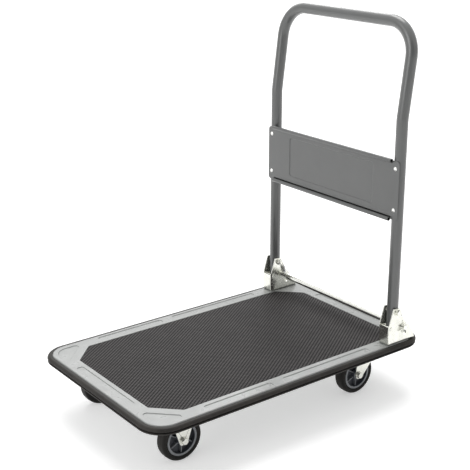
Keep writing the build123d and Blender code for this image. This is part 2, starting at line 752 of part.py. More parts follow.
swivel_front_x = 222.5
swivel_rear_x = 282.0
swivel_cheek = [
    (swivel_front_x, fork_top),
    (214.3, 50.0),
    (218.0, 37.6),
    (233.0, 37.6),
    (swivel_rear_x, 95.0),
    (swivel_rear_x, fork_top),
]
swivel_rounds = [(1, 8.0), (2, 8.0), (3, 9.0)]
for name, side in sides.items():
    middle = side * wheel_half_track

    with BuildPart() as swivel_plate:
        caster_plate(kingpin_x, middle)
        disc(level(kingpin_x, middle, race_bottom), race_outer, fork_plate_bottom - race_bottom)
        ball_groove(kingpin_x, middle)
        below = level(kingpin_x, middle, race_bottom - through)
        disc(below, race_inner, fork_plate_bottom - race_bottom + through, Mode.SUBTRACT)
        disc(below, kingpin_radius, member_bottom - race_bottom + 2 * through, Mode.SUBTRACT)
    swivel_plate.part.label = f"swivel_plate_{name}"
    export_step(swivel_plate.part, f"parts/swivel_plate_{name}.step")

    with BuildPart() as kingpin:
        shank_foot = fork_top - plate - kingpin_gap
        disc(level(kingpin_x, middle, shank_foot, -1), kingpin_head, kingpin_head_height)
        disc(level(kingpin_x, middle, shank_foot), kingpin_radius, member_bottom - shank_foot)
        disc(level(kingpin_x, middle, member_bottom), kingpin_tail, kingpin_tail_height)
        rims = edges().filter_by(GeomType.CIRCLE).group_by(Axis.Z)
        chamfer(rims[0] + rims[-1], kingpin_chamfer)
    kingpin.part.label = f"kingpin_{name}"
    export_step(kingpin.part, f"parts/kingpin_{name}.step")

    with BuildPart() as bearing_balls:
        with Locations((kingpin_x, middle, ball_z)):
            with PolarLocations(ball_pitch, ball_count):
                Sphere(ball_radius)
    bearing_balls.part.label = f"bearing_balls_{name}"
    export_step(bearing_balls.part, f"parts/bearing_balls_{name}.step")

    with BuildPart() as swivel_fork:
        top_bottom = fork_top - plate
        disc(level(kingpin_x, middle, top_bottom), fork_head_radius, plate)
        block(
            (swivel_front_x, middle - fork_width, top_bottom),
            (swivel_rear_x, middle + fork_width, fork_top),
        )
        ring(level(kingpin_x, middle, top_bottom), fork_head_radius, skirt_inner, skirt_top - top_bottom)
        cheeks(middle, swivel_cheek, swivel_rounds)
        ball_groove(kingpin_x, middle)
        under = level(kingpin_x, middle, top_bottom - through)
        disc(under, kingpin_radius + running_gap, plate + 2 * through, Mode.SUBTRACT)
        start = along_y(rear_axle_x, middle - fork_width - through, wheel_radius)
        disc(start, axle_hole, axle_bore_length, Mode.SUBTRACT)
    swivel_fork.part.label = f"swivel_fork_{name}"
    export_step(swivel_fork.part, f"parts/swivel_fork_{name}.step")


# ---------------------------------------------------------------- axles
axle_washer = 8.2
axle_bolt_length = 46.5


def axle_bolt(x, side):
    """Axle bolt with its head on the outer side."""
    outer = side * (wheel_half_track + fork_width)
    under_head = outer + side * washer_thickness
    ring(along_y(x, outer, wheel_radius, side), axle_washer, axle_radius, washer_thickness)
    hexagon(along_y(x, under_head, wheel_radius, side), m8_head, m8_head_height)
    disc(along_y(x, under_head, wheel_radius, -side), axle_radius, axle_bolt_length)


def axle_nut(x, side):
    """Locking nut on the inner side."""
    start = along_y(x, side * (wheel_half_track - fork_width), wheel_radius, -side)
    hexagon(start, m8_head, m8_nut_height, axle_radius)


def axle_sleeve(x, side):
    """Steel sleeve between the fork cheeks, on which the hub turns."""
    start = along_y(x, side * wheel_half_track - fork_half_gap, wheel_radius)
    ring(start, sleeve_radius, axle_hole, 2 * fork_half_gap)


with BuildPart() as front_axle_bolts:
    for side in sides.values():
        axle_bolt(front_axle_x, side)
front_axle_bolts.part.label = "front_axle_bolts"
export_step(front_axle_bolts.part, "parts/front_axle_bolts.step")

with BuildPart() as front_axle_nuts:
    for side in sides.values():
        axle_nut(front_axle_x, side)
front_axle_nuts.part.label = "front_axle_nuts"
export_step(front_axle_nuts.part, "parts/front_axle_nuts.step")

with BuildPart() as front_axle_sleeves:
    for side in sides.values():
        axle_sleeve(front_axle_x, side)
front_axle_sleeves.part.label = "front_axle_sleeves"
export_step(front_axle_sleeves.part, "parts/front_axle_sleeves.step")

for name, side in sides.items():
    with BuildPart() as rear_axle_bolt:
        axle_bolt(rear_axle_x, side)
    rear_axle_bolt.part.label = f"rear_axle_bolt_{name}"
    export_step(rear_axle_bolt.part, f"parts/rear_axle_bolt_{name}.step")

    with BuildPart() as rear_axle_nut:
        axle_nut(rear_axle_x, side)
    rear_axle_nut.part.label = f"rear_axle_nut_{name}"
    export_step(rear_axle_nut.part, f"parts/rear_axle_nut_{name}.step")

    with BuildPart() as rear_axle_sleeve:
        axle_sleeve(rear_axle_x, side)
    rear_axle_sleeve.part.label = f"rear_axle_sleeve_{name}"
    export_step(rear_axle_sleeve.part, f"parts/rear_axle_sleeve_{name}.step")

# ---------------------------------------------------------------- wheels
rim_inner = 30.5
rim_width = 25.0
hub_boss_radius = 11.0
hub_boss_width = 29.0
hub_web = 4.0
rib_count = 6
rib_thickness = 2.4
rib_width = 18.0
rib_reach = 31.5
rib_turn = 30.0
tyre_shoulder = 6.0
for end, axle_x in (("front", front_axle_x), ("rear", rear_axle_x)):
    for name, side in sides.items():
        middle = side * wheel_half_track

        with BuildPart() as tyre:
            disc(along_y(axle_x, middle - tyre_width / 2, wheel_radius), wheel_radius, tyre_width)
            fillet(edges().filter_by(GeomType.CIRCLE), tyre_shoulder)
            start = along_y(axle_x, middle - tyre_width / 2 - through, wheel_radius)
            disc(start, tyre_seat, tyre_width + 2 * through, Mode.SUBTRACT)
        tyre.part.label = f"tyre_{end}_{name}"
        export_step(tyre.part, f"parts/tyre_{end}_{name}.step")

        with BuildPart() as hub:
            ring(along_y(axle_x, middle - rim_width / 2, wheel_radius), tyre_seat, rim_inner, rim_width)
            disc(along_y(axle_x, middle - hub_web / 2, wheel_radius), rib_reach, hub_web)
            disc(along_y(axle_x, middle - hub_boss_width / 2, wheel_radius), hub_boss_radius, hub_boss_width)
            with BuildSketch(along_y(axle_x, middle - rib_width / 2, wheel_radius)) as ribs:
                with PolarLocations(0, rib_count, start_angle=rib_turn):
                    with Locations((rib_reach / 2, 0)):
                        Rectangle(rib_reach, rib_thickness)
            extrude(ribs.sketch, amount=rib_width)
            start = along_y(axle_x, middle - hub_boss_width / 2 - through, wheel_radius)
            disc(start, sleeve_radius + running_gap, hub_boss_width + 2 * through, Mode.SUBTRACT)
        hub.part.label = f"hub_{end}_{name}"
        export_step(hub.part, f"parts/hub_{end}_{name}.step")
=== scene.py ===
"""Looks of the folding platform cart: finer shapes for most pieces, and a procedural material for each.

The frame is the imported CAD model: +X towards the handle, +Y to the right, +Z up, the floor at Z = 0.
Shapes below are worked out in millimetres and turned into metres when a mesh is made.
"""
import bmesh
import bpy
import json
import math
from mathutils import Matrix, Vector, geometry


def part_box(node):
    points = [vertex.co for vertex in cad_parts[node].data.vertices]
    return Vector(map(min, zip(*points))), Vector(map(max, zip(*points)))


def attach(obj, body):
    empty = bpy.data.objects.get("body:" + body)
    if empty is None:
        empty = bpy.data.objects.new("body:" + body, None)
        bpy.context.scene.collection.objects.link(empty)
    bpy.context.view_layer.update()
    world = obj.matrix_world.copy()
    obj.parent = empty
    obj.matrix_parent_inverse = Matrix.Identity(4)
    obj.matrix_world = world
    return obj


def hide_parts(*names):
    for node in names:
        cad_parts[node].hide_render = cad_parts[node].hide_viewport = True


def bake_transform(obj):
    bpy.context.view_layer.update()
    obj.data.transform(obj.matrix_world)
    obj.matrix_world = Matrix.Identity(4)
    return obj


MM = 0.001
SIDES = {"left": -1, "right": 1}

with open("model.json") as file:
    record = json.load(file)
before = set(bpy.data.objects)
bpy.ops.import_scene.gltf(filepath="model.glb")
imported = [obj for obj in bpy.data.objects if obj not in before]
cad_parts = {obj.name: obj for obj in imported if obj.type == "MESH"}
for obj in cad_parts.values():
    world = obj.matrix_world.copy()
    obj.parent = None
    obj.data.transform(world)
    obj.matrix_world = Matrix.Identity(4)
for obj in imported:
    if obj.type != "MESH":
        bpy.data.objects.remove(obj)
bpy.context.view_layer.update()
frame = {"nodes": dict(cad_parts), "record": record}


def low(node):
    """Lowest corner of a CAD node, in millimetres."""
    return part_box(node)[0] / MM


def high(node):
    """Highest corner of a CAD node, in millimetres."""
    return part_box(node)[1] / MM


def middle(node):
    """Centre of a CAD node's box, in millimetres."""
    return (low(node) + high(node)) / 2


# ---------------------------------------------------------------- materials
class Shader:
    """A Principled material that is built up one pattern at a time, in the piece's own coordinates."""

    def __init__(self, name, **sockets):
        self.material = bpy.data.materials.new(name)
        self.material.use_nodes = True
        self.tree = self.material.node_tree
        self.bsdf = self.tree.nodes["Principled BSDF"]
        for socket, value in sockets.items():
            self.bsdf.inputs[socket.replace("_", " ")].default_value = value
        self.place = self.node("ShaderNodeTexCoord").outputs["Object"]

    def node(self, kind, inputs=None, **settings):
        """Adds a node, sets it up, and links or fills its inputs."""
        made = self.tree.nodes.new(kind)
        for setting, value in settings.items():
            setattr(made, setting, value)
        for key, value in (inputs or {}).items():
            if isinstance(value, bpy.types.NodeSocket):
                self.tree.links.new(value, made.inputs[key])
            else:
                made.inputs[key].default_value = value
        return made

    def math(self, operation, first, second=0.0):
        """Result of an operation on one or two values."""
        return self.node("ShaderNodeMath", {0: first, 1: second}, operation=operation).outputs[0]

    def stretched(self, x, y, z):
        """Coordinates scaled along each axis."""
        mapping = self.node("ShaderNodeMapping", {"Vector": self.place, "Scale": (x, y, z)})
        return mapping.outputs["Vector"]

    def noise(self, scale, detail=2.0, place=None):
        """Noise with the given number of features per metre."""
        inputs = {"Vector": place or self.place, "Scale": scale, "Detail": detail}
        return self.node("ShaderNodeTexNoise", inputs).outputs["Fac"]

    def cells(self, scale):
        """A random value for each of many small cells."""
        made = self.node("ShaderNodeTexVoronoi", {"Vector": self.place, "Scale": scale})
        return self.node("ShaderNodeSeparateColor", {0: made.outputs["Color"]}).outputs[0]

    def remap(self, value, start, end, low_value, high_value):
        """Value taken from one range to another, clamped."""
        inputs = {0: value, 1: start, 2: end, 3: low_value, 4: high_value}
        return self.node("ShaderNodeMapRange", inputs).outputs[0]

    def mix(self, amount, first, second):
        """Colour between two colours."""
        inputs = {"Factor": amount, 6: first, 7: second}
        return self.node("ShaderNodeMix", inputs, data_type="RGBA").outputs[2]

    def edges(self, radius):
        """Mask that is 1 along sharp edges and 0 elsewhere."""
        rounded = self.node("ShaderNodeBevel", {"Radius": radius}, samples=4).outputs[0]
        plain = self.node("ShaderNodeNewGeometry").outputs["Normal"]
        dot = self.node("ShaderNodeVectorMath", {0: rounded, 1: plain}, operation="DOT_PRODUCT")
        return self.remap(dot.outputs["Value"], 0.995, 0.90, 0.0, 1.0)

    def bump(self, height, distance, strength=1.0, below=None):
        """Normal of a surface raised by a height."""
        inputs = {"Height": height, "Distance": distance, "Strength": strength}
        if below is not None:
            inputs["Normal"] = below
        return self.node("ShaderNodeBump", inputs).outputs[0]

    def use(self, **sockets):
        """Links patterns to the shader's sockets and returns the material."""
        for socket, value in sockets.items():
            self.tree.links.new(value, self.bsdf.inputs[socket.replace("_", " ")])
        return self.material


def grey(level, tint=(1.0, 1.0, 1.0)):
    """Colour of a linear grey level with a tint."""
    return (level * tint[0], level * tint[1], level * tint[2], 1.0)


def painted_metal(name, level, tint, gloss, peel, coat):
    """Paint on steel: orange peel, faint patches and specks, worn bright along its edges."""
    shader = Shader(name, Metallic=0.0, Coat_Weight=coat, Coat_Roughness=0.16)
    patches = shader.remap(shader.noise(9.0, 4.0), 0.35, 0.65, 0.0, 1.0)
    colour = shader.mix(patches, grey(level * 0.93, tint), grey(level * 1.05, tint))
    speckle = shader.remap(shader.noise(420.0, 2.0), 0.58, 0.75, 0.0, 0.14)
    colour = shader.mix(speckle, colour, grey(level * 0.8, tint))
    rubbed = shader.remap(shader.noise(120.0, 4.0), 0.42, 0.68, 0.0, 0.5)
    wear = shader.math("MULTIPLY", shader.edges(0.0012), rubbed)
    colour = shader.mix(wear, colour, grey(min(level * 1.7, 0.8), tint))
    roughness = shader.remap(shader.noise(45.0, 3.0), 0.3, 0.7, gloss - 0.05, gloss + 0.07)
    normal = shader.bump(shader.noise(520.0, 3.0), peel)
    return shader.use(Base_Color=colour, Roughness=roughness, Normal=normal)


def zinc_plate(name, level=0.80, tint=(1.0, 1.0, 0.93), gloss=0.2, waves=0.0006):
    """Bright zinc plate: fine spangle, brushed streaks and a faint yellow cast."""
    shader = Shader(name, Metallic=1.0, Specular_IOR_Level=0.5)
    clouds = shader.remap(shader.noise(60.0, 4.0), 0.3, 0.7, 0.0, 1.0)
    colour = shader.mix(clouds, grey(level * 0.86, tint), grey(level, tint))
    spangle = shader.remap(shader.cells(420.0), 0.0, 1.0, 0.0, 0.22)
    colour = shader.mix(spangle, colour, grey(level * 0.72, (1.0, 1.02, 0.9)))
    wear = shader.remap(shader.edges(0.0008), 0.0, 1.0, 0.0, 0.6)
    colour = shader.mix(wear, colour, grey(0.92))
    streaks = shader.noise(260.0, 3.0, shader.stretched(1.0, 0.15, 1.0))
    roughness = shader.remap(streaks, 0.3, 0.7, gloss - 0.07, gloss + 0.1)
    fine = shader.bump(shader.noise(700.0, 2.0), 0.00004, 0.6)
    normal = shader.bump(shader.noise(55.0, 1.0), waves, 0.25, fine)
    return shader.use(Base_Color=colour, Roughness=roughness, Normal=normal)


def polished_steel(name):
    """Bearing balls and spring wire."""
    shader = Shader(name, Metallic=1.0)
    colour = shader.mix(shader.noise(300.0, 2.0), grey(0.50), grey(0.68))
    roughness = shader.remap(shader.noise(500.0, 2.0), 0.3, 0.7, 0.12, 0.24)
    return shader.use(Base_Color=colour, Roughness=roughness)


def rubber(name, level, gloss, dust, grain=0.00006):
    """Black rubber: moulded grain, faint bloom, and dust in patches."""
    shader = Shader(name, Metallic=0.0, Specular_IOR_Level=0.1)
    clouds = shader.remap(shader.noise(22.0, 5.0), 0.35, 0.7, 0.0, 1.0)
    colour = shader.mix(clouds, grey(level, (1.05, 1.0, 0.93)), grey(level * 1.5, (1.08, 1.0, 0.90)))
    scuffs = shader.remap(shader.noise(160.0, 6.0), 0.58, 0.72, 0.0, dust)
    colour = shader.mix(scuffs, colour, grey(level + 0.08, (1.05, 1.0, 0.90)))
    roughness = shader.remap(clouds, 0.0, 1.0, gloss - 0.05, gloss + 0.08)
    normal = shader.bump(shader.noise(1400.0, 2.0), grain)
    return shader.use(Base_Color=colour, Roughness=roughness, Normal=normal)


MAT_PITCH_X = 0.0121
MAT_PITCH_Y = 0.0081


def ribbed_vinyl(name):
    """Anti-slip mat: small raised lozenges in diagonal rows, painted shade in the grooves between them, and
    dust in patches.
    """
    shader = Shader(name, Metallic=0.0, Specular_IOR_Level=0.15)
    axes = shader.node("ShaderNodeSeparateXYZ", {0: shader.place})
    lengthways = shader.math("DIVIDE", axes.outputs["X"], MAT_PITCH_X)
    crossways = shader.math("DIVIDE", axes.outputs["Y"], MAT_PITCH_Y)
    rows = shader.math("PINGPONG", shader.math("SUBTRACT", crossways, lengthways), 0.5)
    columns = shader.math("PINGPONG", shader.math("ADD", crossways, lengthways), 0.5)
    row = shader.remap(rows, 0.08, 0.30, 0.0, 1.0)
    lozenge = shader.remap(columns, 0.04, 0.26, 0.35, 1.0)
    height = shader.math("MULTIPLY", row, lozenge)
    clouds = shader.remap(shader.noise(14.0, 5.0), 0.3, 0.7, 0.0, 1.0)
    crest = shader.mix(clouds, grey(0.036, (1.08, 0.97, 0.97)), grey(0.050, (1.08, 0.97, 0.97)))
    # painted shade: the grooves between the lozenges are near black, and the crests carry the vinyl's colour
    colour = shader.mix(height, grey(0.004, (1.05, 1.0, 1.0)), crest)
    dusty = shader.remap(shader.noise(240.0, 4.0), 0.60, 0.75, 0.0, 0.25)
    colour = shader.mix(dusty, colour, grey(0.16, (1.05, 1.0, 0.95)))
    roughness = shader.remap(height, 0.0, 1.0, 0.75, 0.5)
    fine = shader.bump(shader.noise(1500.0, 2.0), 0.00005)
    normal = shader.bump(height, 0.0006, 1.0, fine)
    return shader.use(Base_Color=colour, Roughness=roughness, Normal=normal)


def moulded_nylon(name, level, tint, gloss):
    """Moulded plastic: a faint flow pattern and a fine matt grain."""
    shader = Shader(name, Metallic=0.0, Specular_IOR_Level=0.5)
    flow = shader.remap(shader.noise(70.0, 4.0), 0.3, 0.7, 0.0, 1.0)
    colour = shader.mix(flow, grey(level * 0.9, tint), grey(level * 1.08, tint))
    grime = shader.remap(shader.noise(260.0, 5.0), 0.58, 0.75, 0.0, 0.35)
    colour = shader.mix(grime, colour, grey(level * 0.5, tint))
    roughness = shader.remap(flow, 0.0, 1.0, gloss - 0.06, gloss + 0.08)
    normal = shader.bump(shader.noise(1100.0, 2.0), 0.00004)
    return shader.use(Base_Color=colour, Roughness=roughness, Normal=normal)


def studio_floor(name):
    """Pale floor lit from below as well, so that shadows stay light."""
    glow = {"Emission_Color": grey(1.0), "Emission_Strength": 0.45}
    shader = Shader(name, Metallic=0.0, Specular_IOR_Level=0.0, **glow)
    colour = shader.mix(shader.noise(3.0, 3.0), grey(0.81), grey(0.83))
    roughness = shader.remap(shader.noise(40.0, 2.0), 0.3, 0.7, 0.7, 0.8)
    return shader.use(Base_Color=colour, Roughness=roughness)


DECK_PAINT = painted_metal("deck_paint", 0.285, (0.97, 1.0, 0.975), 0.30, 0.00006, 0.1)
HANDLE_PAINT = painted_metal("handle_paint", 0.092, (0.97, 1.0, 0.985), 0.34, 0.00010, 0.6)
ZINC = zinc_plate("zinc")
FOOT_ZINC = zinc_plate("foot_zinc", 0.86, (1.0, 1.0, 0.95), 0.14, 0.0001)
RIVET_ZINC = zinc_plate("rivet_zinc", 0.92, (1.0, 1.0, 0.98), 0.42, 0.0001)
SPRING_STEEL = polished_steel("spring_steel")
BALL_STEEL = polished_steel("ball_steel")
BUMPER_RUBBER = rubber("bumper_rubber", 0.027, 0.45, 0.10)
TYRE_RUBBER = rubber("tyre_rubber", 0.013, 0.48, 0.16)
MAT_VINYL = ribbed_vinyl("mat_vinyl")
HUB_PLASTIC = moulded_nylon("hub_plastic", 0.20, (0.95, 1.0, 1.06), 0.42)
# darker copy of the hub plastic: painted shade for the deep wells between boss and rim
HUB_PAINTED_WELL_SHADE = moulded_nylon("hub_well_painted_shade", 0.045, (0.85, 0.95, 1.15), 0.5)

SLOT_MATERIALS = {
    "deck_paint": DECK_PAINT,
    "handle_paint": HANDLE_PAINT,
    "zinc": ZINC,
    "spring_steel": SPRING_STEEL,
    "ball_steel": BALL_STEEL,
    "bumper_rubber": BUMPER_RUBBER,
    "tyre_rubber": TYRE_RUBBER,
    "mat_vinyl": MAT_VINYL,
    "hub_plastic": HUB_PLASTIC,
}


# ---------------------------------------------------------------- mesh helpers, in millimetres
def frame_of(axis):
    """An axis at unit length, and two directions across it."""
    axis = Vector(axis).normalized()
    across = axis.orthogonal().normalized()
    return axis, across, axis.cross(across)


class Form:
    """Vertices and faces of one piece, gathered in millimetres."""

    def __init__(self):
        self.mesh = bmesh.new()

    def ring(self, points):
        """Adds points and returns their vertices."""
        return [self.mesh.verts.new(Vector(point) * MM) for point in points]

    def band(self, first, second, closed=True, material=0):
        """Quads between two rows with the same number of vertices."""
        count = len(first)
        for i in range(count if closed else count - 1):
            j = (i + 1) % count
            face = self.mesh.faces.new((first[i], first[j], second[j], second[i]))
            face.material_index = material

    def bands(self, rings):
        """Quads between each ring and the next."""
        for first, second in zip(rings, rings[1:]):
            self.band(first, second)

    def cap(self, ring):
        """Flat face over a ring."""
        self.mesh.faces.new(ring)

    def loft(self, rows, caps=True, wrap=False, materials=None):
        """Skin through closed rows of points, with flat caps at both ends, or joined end to end."""
        rings = [self.ring(row) for row in rows]
        for i in range(len(rings) - 1):
            self.band(rings[i], rings[i + 1], material=materials[i] if materials else 0)
        if wrap:
            self.band(rings[-1], rings[0])
        elif caps:
            self.cap(rings[0])
            self.cap(rings[-1])
        return rings

    def fill(self, *rings):
        """Flat surface that lies inside the first ring and outside the others."""
        edges = []
        for ring in rings:
            for i, vertex in enumerate(ring):
                pair = (vertex, ring[(i + 1) % len(ring)])
                edges.append(self.mesh.edges.get(pair) or self.mesh.edges.new(pair))
        bmesh.ops.triangle_fill(self.mesh, use_beauty=True, use_dissolve=False, edges=edges)

    def lathe(self, start, axis, profile, sides=64, closed=True, materials=None):
        """Turned shape: profile holds (distance along the axis, radius), closed into a ring or capped."""
        axis, across, other = frame_of(axis)
        rows = []
        for along, radius in profile:
            centre = Vector(start) + axis * along
            row = []
            for i in range(sides):
                turn = 2 * math.pi * i / sides
                row.append(centre + (across * math.cos(turn) + other * math.sin(turn)) * radius)
            rows.append(row)
        return self.loft(rows, caps=not closed, wrap=closed, materials=materials)

    def finish(self, name, body, replaced, materials, sharp=35.0, weighted=True):
        """Makes the object, smooth apart from its sharp edges, on its body and in its CAD node's place."""
        bmesh.ops.recalc_face_normals(self.mesh, faces=self.mesh.faces)
        data = bpy.data.meshes.new(name)
        self.mesh.to_mesh(data)
        self.mesh.free()
        for polygon in data.polygons:
            polygon.use_smooth = True
        data.set_sharp_from_angle(angle=math.radians(sharp))
        made = bpy.data.objects.new(name, data)
        bpy.context.scene.collection.objects.link(made)
        for material in materials:
            data.materials.append(material)
        if weighted:
            normals = made.modifiers.new("weighted_normals", "WEIGHTED_NORMAL")
            normals.keep_sharp = True
        if body:
            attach(made, body)
        if replaced:
            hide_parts(*replaced)
        return made


def arc(centre, radius, start, end, steps):
    """Points on an arc in a plane, from one angle to another, in degrees."""
    points = []
    for i in range(steps + 1):
        turn = math.radians(start + (end - start) * i / steps)
        points.append((centre[0] + radius * math.cos(turn), centre[1] + radius * math.sin(turn)))
    return points


def rounded_outline(corners, radii, grow=0.0, steps=6):
    """Convex outline with rounded corners, grown outwards by a distance. The corners run anticlockwise."""
    points = []
    count = len(corners)
    for i, corner in enumerate(corners):
        here = Vector(corner)
        before = (here - Vector(corners[i - 1])).normalized()
        after = (Vector(corners[(i + 1) % count]) - here).normalized()
        normal_before = Vector((before.y, -before.x))
        normal_after = Vector((after.y, -after.x))
        radius = radii[i]
        centre = here - (normal_before + normal_after) * radius / (1 + normal_before.dot(normal_after))
        start = math.degrees(math.atan2(normal_before.y, normal_before.x))
        turn = math.degrees(normal_before.angle(normal_after))
        points += arc(centre, radius + grow, start, start + turn, steps)
    return points


def rectangle(half_x, half_y, centre=(0.0, 0.0)):
    """Corners of a rectangle, anticlockwise."""
    x, y = centre
    return [
        (x - half_x, y - half_y), (x + half_x, y - half_y),
        (x + half_x, y + half_y), (x - half_x, y + half_y),
    ]


def filleted_path(points, radii, step=5.0):
    """Path through corners that are rounded by arcs, with a point every few degrees of turn."""
    path = [Vector(points[0])]
    for i, radius in enumerate(radii, start=1):
        corner = Vector(points[i])
        back = (Vector(points[i - 1]) - corner).normalized()
        ahead = (Vector(points[i + 1]) - corner).normalized()
        half = back.angle(ahead) / 2
        centre = corner + (back + ahead).normalized() * radius / math.sin(half)
        first = corner + back * radius / math.tan(half) - centre
        last = corner + ahead * radius / math.tan(half) - centre
        axis = first.cross(last).normalized()
        turn = first.angle(last)
        steps = max(2, round(math.degrees(turn) / step))
        for k in range(steps + 1):
            path.append(centre + Matrix.Rotation(turn * k / steps, 3, axis) @ first)
    path.append(Vector(points[-1]))
    return path


def tube_rows(path, radius, sides=32, start_across=None):
    """Rings round a path, carried along it without twist. radius may be a number or one for each point."""
    rows = []
    across = start_across
    for i, point in enumerate(path):
        ahead = path[min(i + 1, len(path) - 1)] - point
        behind = point - path[max(i - 1, 0)]
        if ahead.length < 1e-9:
            ahead = behind
        if behind.length < 1e-9:
            behind = ahead
        along = (ahead.normalized() + behind.normalized()).normalized()
        if across is None:
            across = along.orthogonal()
        across = (across - along * across.dot(along)).normalized()
        other = along.cross(across)
        size = radius[i] if isinstance(radius, (list, tuple)) else radius
        # a mitred ring is wider across the bend than along it
        stretch = 1.0 / max(ahead.normalized().dot(along), 0.5)
        bend = (ahead.normalized() - behind.normalized())
        row = []
        for k in range(sides):
            turn = 2 * math.pi * k / sides
            out = (across * math.cos(turn) + other * math.sin(turn)) * size
            if bend.length > 1e-6:
                direction = bend.normalized()
                out += direction * out.dot(direction) * (stretch - 1.0)
            row.append(point + out)
        rows.append(row)
    return rows


# ---------------------------------------------------------------- platform
SHEET = 1.5
DECK = high("deck_plate")
RIM_BOTTOM = low("deck_plate").z
DECK_CORNER = 46.0
DECK_EDGE = 3.0
PRESSING_DEPTH = 1.5
MAT_RECESS = 3.0
MAT_GAP = 0.8
MAT_CUT = 51.8
MAT_CORNER = 3.0
MAT_EDGE = 0.8
RECESS_CORNER = 5.0
RECESS_WALL = 1.6
PRESSING_WALL = 1.7
STRIP_HALF_WIDTH = 7.5
STRIP_CORNER = 5.0
SIDE_STRIP_Y = 207.0
SIDE_STRIPS = ((86.0, -147.8), (122.0, 93.0))   # half length and middle of each
END_STRIP_X = 342.5
END_STRIP_HALF = 106.0
POCKET_FAR = (349.0, 210.0)
POCKET_NEAR = (281.0, 142.0)
POCKET_RADII = [30.0, 7.0, 7.0]                 # at the tip, and at the two ends


def octagon(half_x, half_y, cut):
    """Corners of a rectangle with cut corners, anticlockwise."""
    return [
        (half_x, half_y - cut), (half_x - cut, half_y), (cut - half_x, half_y), (-half_x, half_y - cut),
        (-half_x, cut - half_y), (cut - half_x, -half_y), (half_x - cut, -half_y), (half_x, cut - half_y),
    ]


def pressings():
    """Each pressing of the deck: its corners, corner radii, depth and the width of its sloping wall."""
    mat = high("anti_slip_mat")
    recess = octagon(mat.x + MAT_GAP, mat.y + MAT_GAP, MAT_CUT)
    found = [(recess, [RECESS_CORNER] * 8, MAT_RECESS, RECESS_WALL)]
    strips = [rectangle(STRIP_HALF_WIDTH, END_STRIP_HALF, (end * END_STRIP_X, 0.0)) for end in (-1, 1)]
    for side in SIDES.values():
        for half, along in SIDE_STRIPS:
            strips.append(rectangle(half, STRIP_HALF_WIDTH, (along, side * SIDE_STRIP_Y)))
    found += [(strip, [STRIP_CORNER] * 4, PRESSING_DEPTH, PRESSING_WALL) for strip in strips]
    for side in SIDES.values():
        tip = (-POCKET_FAR[0], side * POCKET_FAR[1])
        long_end = (-POCKET_NEAR[0], side * POCKET_FAR[1])
        wide_end = (-POCKET_FAR[0], side * POCKET_NEAR[1])
        corners = [tip, wide_end, long_end] if side > 0 else [tip, long_end, wide_end]
        found.append((corners, POCKET_RADII, PRESSING_DEPTH, PRESSING_WALL))
    return found


def pressed_face(form, top, grow, outer):
    """One face of the deck sheet: flat, with every pressing let into it by a smooth step."""
    openings = []
    for corners, radii, depth, wall in pressings():
        rings = []
        steps = 8
        for i in range(steps + 1):
            share = i / steps
            out = grow + wall * (0.5 - share)
            z = top - depth * (1 - math.cos(math.pi * share)) / 2
            outline = rounded_outline(corners, radii, out)
            rings.append(form.ring([(x, y, z) for x, y in outline]))
        form.bands(rings)
        form.cap(rings[-1])
        openings.append(rings[0])
    form.fill(outer, *openings)


def make_deck():
    """Pressed sheet platform, with the same pressings showing underneath."""
    form = Form()
    corners = rectangle(DECK.x, DECK.y)
    radii = [DECK_CORNER] * 4
    profile = [(radius - DECK_EDGE, z + DECK.z - DECK_EDGE) for radius, z in arc((0, 0), DECK_EDGE, 90, 0, 6)]
    burr = 0.3
    profile += [(0.0, RIM_BOTTOM + burr), (-burr, RIM_BOTTOM)]
    profile += [(burr - SHEET, RIM_BOTTOM), (-SHEET, RIM_BOTTOM + burr)]
    inner = DECK_EDGE - SHEET
    profile += [(radius - DECK_EDGE, z + DECK.z - DECK_EDGE) for radius, z in arc((0, 0), inner, 0, 90, 6)]
    rings = []
    for grow, z in profile:
        rings.append(form.ring([(x, y, z) for x, y in rounded_outline(corners, radii, grow, 12)]))
    form.bands(rings)
    pressed_face(form, DECK.z, 0.0, rings[0])
    pressed_face(form, DECK.z - SHEET, SHEET, rings[-1])
    form.finish("deck_sheet", "deck", ["deck_plate"], [DECK_PAINT])


def make_mat():
    """Anti-slip mat with a softly rounded edge."""
    form = Form()
    floor = low("anti_slip_mat").z
    top = high("anti_slip_mat")
    corners = octagon(top.x, top.y, MAT_CUT)
    edge = MAT_EDGE
    profile = [(0.0, floor), (0.0, top.z - edge)]
    profile += [(x - edge, z + top.z - edge) for x, z in arc((0, 0), edge, 15, 90, 5)]
    rows = []
    for grow, z in profile:
        rows.append([(x, y, z) for x, y in rounded_outline(corners, [MAT_CORNER] * 8, grow, 4)])
    form.loft(rows)
    form.finish("mat_sheet", "deck", ["anti_slip_mat"], [MAT_VINYL])


BUMPER_DROP = 1.2               # the strip's top is this far under the CAD piece's


def make_bumper():
    """Rubber edge: a round band above a groove, a lip below, and a flange under the platform's rim."""
    form = Form()
    bottom = low("bumper").z
    top = high("bumper").z - BUMPER_DROP
    band = high("bumper").x - DECK.x
    lip = band - 0.5
    crown = 6.5
    groove_low = 115.4
    groove_high = 118.2
    groove = band - 4.6
    profile = [(0.0, RIM_BOTTOM), (0.0, top - 1.4)]
    profile += arc((1.2, top - 1.2), 1.2, 180, 90, 4)
    profile += arc((band - crown, top - crown), crown, 90, 0, 9)
    profile += arc((band - 1.5, groove_high + 1.5), 1.5, 0, -90, 4)
    profile += [(groove, groove_high - 0.1), (groove, groove_low + 0.1)]
    profile += arc((lip - 1.0, groove_low - 1.0), 1.0, 90, 0, 3)
    profile += arc((lip - 2.2, bottom + 2.2), 2.2, 0, -90, 5)
    profile += [(-5.2, bottom), (-6.0, bottom + 0.8), (-6.0, RIM_BOTTOM - 0.1), (-2.0, RIM_BOTTOM)]
    rows = []
    for grow, z in profile:
        outline = rounded_outline(rectangle(DECK.x, DECK.y), [DECK_CORNER] * 4, grow, 16)
        rows.append([(x, y, z) for x, y in outline])
    form.loft(rows, wrap=True)
    form.finish("bumper_strip", "deck", ["bumper"], [BUMPER_RUBBER], sharp=50)


